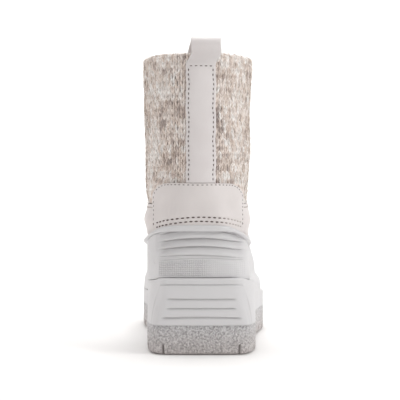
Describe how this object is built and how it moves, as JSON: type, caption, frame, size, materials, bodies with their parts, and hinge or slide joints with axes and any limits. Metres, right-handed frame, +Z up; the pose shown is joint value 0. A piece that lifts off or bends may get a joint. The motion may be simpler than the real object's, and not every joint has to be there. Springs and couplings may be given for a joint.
{
  "type": "mukluk boot",
  "caption": "Right winter boot with a knitted shaft, leather counter, moulded foot shell, wedge sole with heel and lugs, and a pull loop.",
  "frame": {"origin": "middle of the bounding box, on the ground plane under the sole", "axes": "+Z up, +Y towards the toe, +X the wearer's right, which is this boot's outer side"},
  "size_m": [0.0938, 0.275, 0.207],
  "materials": {
    "sole_rubber": "satin moulded rubber with a pebbled tread edge",
    "shell_rubber": "satin moulded rubber",
    "upper_leather": "smooth matt leather",
    "knit": "marled wool knit",
    "counter_leather": "smooth matt leather",
    "strap_leather": "smooth matt leather",
    "lining": "short fleece"
  },
  "bodies": {
    "root": {"outsole": "sole_rubber", "shell": "shell_rubber", "upper": "upper_leather", "knit_shaft": "knit", "counter": "counter_leather", "pull_strap": "strap_leather", "insole": "lining"}
  },
  "joints": []
}
